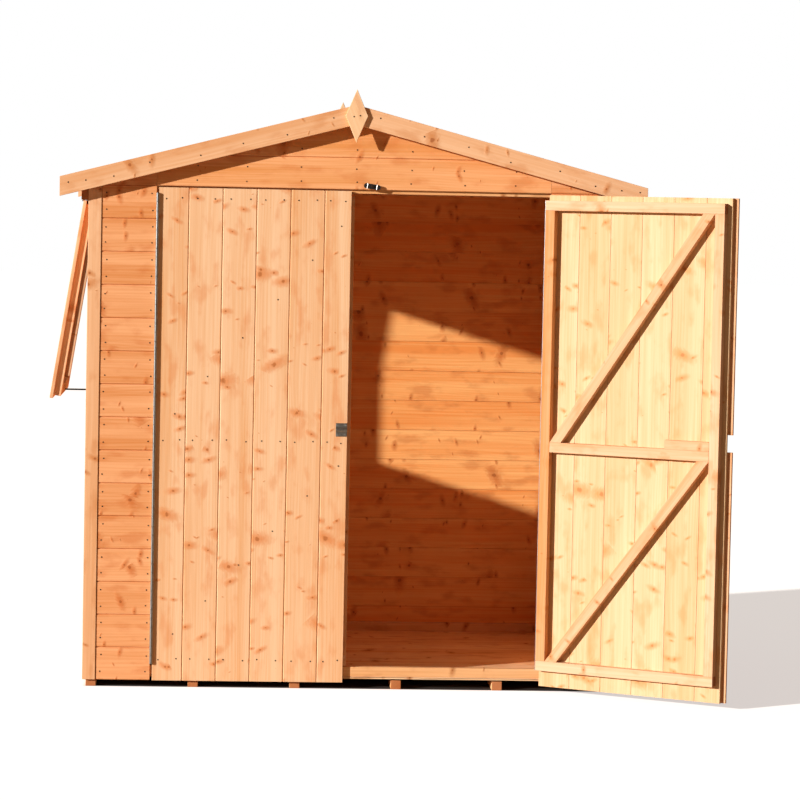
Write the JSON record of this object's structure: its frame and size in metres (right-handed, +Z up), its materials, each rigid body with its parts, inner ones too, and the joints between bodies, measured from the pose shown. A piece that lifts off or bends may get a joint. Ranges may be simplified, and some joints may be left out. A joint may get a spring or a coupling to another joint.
{
  "type": "wooden garden shed",
  "caption": "Apex-roofed wooden garden shed with outward double doors, one standing open, a top-hung side window, barge boards and a boarded floor on joists.",
  "frame": {"origin": "on the ground at the middle of the walls' footprint", "axes": "+X to the right seen from the front, +Y from the doors to the back wall, +Z up"},
  "size_m": [2.2675, 1.6284, 2.0313],
  "materials": {
    "cladding_timber": "dip-treated softwood shiplap, warm honey orange with knots, matt",
    "framing_timber": "planed softwood battens, warm orange in the shade of the shed, matt",
    "trim_timber": "planed softwood trims and barge boards, pale orange, matt",
    "door_timber": "planed softwood door boards and door frames, pale peach to cream, matt",
    "floor_timber": "planed softwood floor boards and joists, matt",
    "roofing_felt": "mineral-surfaced bitumen felt, charcoal, rough",
    "window_glass": "clear horticultural glass, smooth",
    "galvanised_steel": "bright zinc-plated steel strip, satin",
    "black_steel": "black enamelled pressed steel, semi-gloss"
  },
  "bodies": {
    "shed": {"floor_joists": "floor_timber", "floor_boards": "floor_timber", "front_left_cladding": "cladding_timber", "front_right_cladding": "cladding_timber", "front_gable_cladding": "cladding_timber", "front_posts": "framing_timber", "front_rails": "framing_timber", "back_cladding": "cladding_timber", "back_posts": "framing_timber", "back_rails": "framing_timber", "left_cladding": "cladding_timber", "left_posts": "framing_timber", "left_rails": "framing_timber", "right_cladding": "cladding_timber", "right_posts": "framing_timber", "right_rails": "framing_timber", "gable_rafters": "framing_timber", "corner_trims": "trim_timber", "window_sash": "trim_timber", "window_glass": "window_glass", "window_stay": "black_steel", "window_hinges": "galvanised_steel", "roof_deck": "framing_timber", "roof_felt": "roofing_felt", "roof_battens": "framing_timber", "front_barge_boards": "trim_timber", "back_barge_boards": "trim_timber", "finials": "trim_timber", "wall_hinge_leaves": "galvanised_steel", "turn_button_screw": "galvanised_steel"},
    "left_door": {"left_door_boards": "door_timber", "left_door_stiles": "door_timber", "left_door_rails": "door_timber", "left_door_braces": "door_timber", "left_door_hinge_leaf": "galvanised_steel", "left_door_keep": "galvanised_steel"},
    "right_door": {"right_door_boards": "door_timber", "right_door_stiles": "door_timber", "right_door_rails": "door_timber", "right_door_braces": "door_timber", "right_door_lock_block": "door_timber", "right_door_cover_strips": "door_timber", "right_door_hinge_leaf": "galvanised_steel", "right_door_bolt": "galvanised_steel"},
    "turn_button": {"turn_button": "black_steel"}
  },
  "joints": [
    {"name": "left_door_hinge", "type": "hinge", "parent": "shed", "child": "left_door", "pos_m": [-0.661, -0.6045, 0.85], "axis": [0, 0, -1], "range_deg": [0, 160]},
    {"name": "right_door_hinge", "type": "hinge", "parent": "shed", "child": "right_door", "pos_m": [0.661, -0.6045, 0.85], "axis": [0, 0, 1], "range_deg": [-149, 11]},
    {"name": "turn_button_pivot", "type": "hinge", "parent": "shed", "child": "turn_button", "pos_m": [0.058, -0.606, 1.7078], "axis": [0, 1, 0], "range_deg": [-98, 82]}
  ]
}
